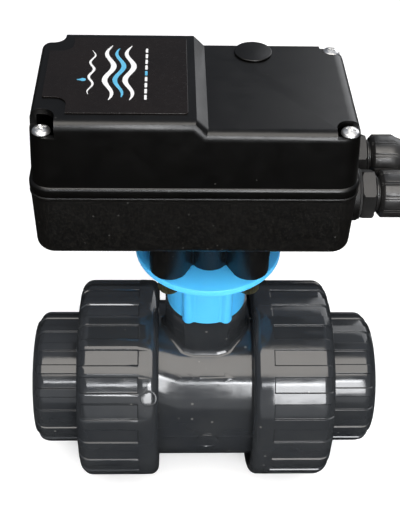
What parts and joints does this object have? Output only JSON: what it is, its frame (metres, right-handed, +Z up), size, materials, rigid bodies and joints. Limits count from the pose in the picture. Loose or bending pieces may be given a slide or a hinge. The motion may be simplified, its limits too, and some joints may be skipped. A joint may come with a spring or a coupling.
{
  "type": "motorized valve actuator",
  "caption": "Quarter-turn electric actuator in a two-part plastic housing, on a flanged adapter above a double-union plastic ball valve for solvent-cemented pipe.",
  "frame": {"origin": "where the pipe axis meets the valve stem axis, at the middle of the ball", "axes": "+X along the pipe towards the side with the cable glands, +Y to the back, +Z up the stem to the actuator"},
  "size_m": [0.1715, 0.0994, 0.2283],
  "materials": {
    "grey_pvc": "smooth moulded, semi-gloss",
    "blue_nylon": "smooth moulded, satin",
    "black_housing": "fine textured, satin",
    "black_nylon": "moulded, satin",
    "label": "printed film, satin, with a plain printed motif",
    "rubber": "moulded, matt",
    "white_ptfe": "turned, smooth",
    "steel": "zinc plated and machined",
    "yellow_zinc": "yellow zinc plating, satin",
    "bronze": "sintered, oily",
    "white_acetal": "moulded, satin",
    "green_board": "solder resist",
    "green_block": "moulded, satin",
    "foil_sleeve": "shrink sleeve, glossy"
  },
  "bodies": {
    "valve_and_housing": {"adapter_screw_back_left": "steel", "adapter_screw_back_right": "steel", "adapter_screw_front_left": "steel", "adapter_screw_front_right": "steel", "ball_seat_left": "white_ptfe", "ball_seat_right": "white_ptfe", "base_housing": "black_housing", "circuit_board": "green_board", "cover": "black_housing", "cover_gasket": "rubber", "cover_screw_back_left": "steel", "cover_screw_back_right": "steel", "cover_screw_front_left": "steel", "cover_screw_front_right": "steel", "end_connector_left": "grey_pvc", "end_connector_right": "grey_pvc", "flange_bolt_back_left": "yellow_zinc", "flange_bolt_back_right": "yellow_zinc", "flange_bolt_front_left": "yellow_zinc", "flange_bolt_front_right": "yellow_zinc", "gland_back_body": "black_nylon", "gland_back_locknut": "black_nylon", "gland_back_seal": "rubber", "gland_back_washer": "rubber", "gland_front_body": "black_nylon", "gland_front_locknut": "black_nylon", "gland_front_seal": "rubber", "gland_front_washer": "rubber", "label_plate": "label", "limit_switch_closed": "black_nylon", "limit_switch_open": "black_nylon", "lower_gear_plate": "steel", "motor": "steel", "motor_capacitor": "foil_sleeve", "mounting_adapter": "blue_nylon", "output_bush": "bronze", "output_seal": "rubber", "override_plug": "black_housing", "seat_carrier": "grey_pvc", "stem_seal_lower": "rubber", "stem_seal_upper": "rubber", "terminal_block": "green_block", "union_seal_left": "rubber", "union_seal_right": "rubber", "upper_gear_plate": "steel", "valve_body": "grey_pvc"},
    "drive": {"valve_ball": "white_ptfe", "valve_stem": "steel", "drive_coupling": "steel", "output_shaft": "steel", "output_gear": "steel", "cam_open": "white_acetal", "cam_closed": "white_acetal"},
    "intermediate_gear": {"intermediate_gear": "steel"},
    "motor_pinion": {"motor_pinion": "steel"},
    "override_spindle": {"override_spindle": "steel"},
    "union_nut_left": {"union_nut_left": "grey_pvc"},
    "union_nut_right": {"union_nut_right": "grey_pvc"},
    "gland_nut_front": {"gland_front_dome_nut": "black_nylon"},
    "gland_nut_back": {"gland_back_dome_nut": "black_nylon"}
  },
  "joints": [
    {"name": "stem_turn", "type": "hinge", "parent": "valve_and_housing", "child": "drive", "pos_m": [0, 0, 0.1], "axis": [0, 0, 1], "range_deg": [-90, 0]},
    {"name": "intermediate_gear_spin", "type": "hinge", "parent": "valve_and_housing", "child": "intermediate_gear", "pos_m": [-0.0315, 0, 0.127], "axis": [0, 0, 1], "range_deg": [0, 426]},
    {"name": "motor_pinion_spin", "type": "hinge", "parent": "valve_and_housing", "child": "motor_pinion", "pos_m": [-0.05155, 0.01021, 0.135], "axis": [0, 0, 1], "range_deg": [-1316, 0]},
    {"name": "override_spindle_spin", "type": "hinge", "parent": "valve_and_housing", "child": "override_spindle", "pos_m": [0.01716, 0.02582, 0.14], "axis": [0, 0, 1], "range_deg": [0, 469]},
    {"name": "union_nut_left_turn", "type": "hinge", "parent": "valve_and_housing", "child": "union_nut_left", "pos_m": [-0.042, 0, 0], "axis": [-1, 0, 0], "range_deg": [0, 1080]},
    {"name": "union_nut_right_turn", "type": "hinge", "parent": "valve_and_housing", "child": "union_nut_right", "pos_m": [0.042, 0, 0], "axis": [1, 0, 0], "range_deg": [0, 1080]},
    {"name": "gland_nut_front_turn", "type": "hinge", "parent": "valve_and_housing", "child": "gland_nut_front", "pos_m": [0.0785, -0.0132, 0.1295], "axis": [1, 0, 0], "range_deg": [0, 1080]},
    {"name": "gland_nut_back_turn", "type": "hinge", "parent": "valve_and_housing", "child": "gland_nut_back", "pos_m": [0.0785, 0.0132, 0.1295], "axis": [1, 0, 0], "range_deg": [0, 1080]}
  ],
  "couplings": [
    {"joint": "intermediate_gear_spin", "follows": "stem_turn", "ratio": -4.7273},
    {"joint": "motor_pinion_spin", "follows": "stem_turn", "ratio": 14.612},
    {"joint": "override_spindle_spin", "follows": "stem_turn", "ratio": -5.2}
  ]
}
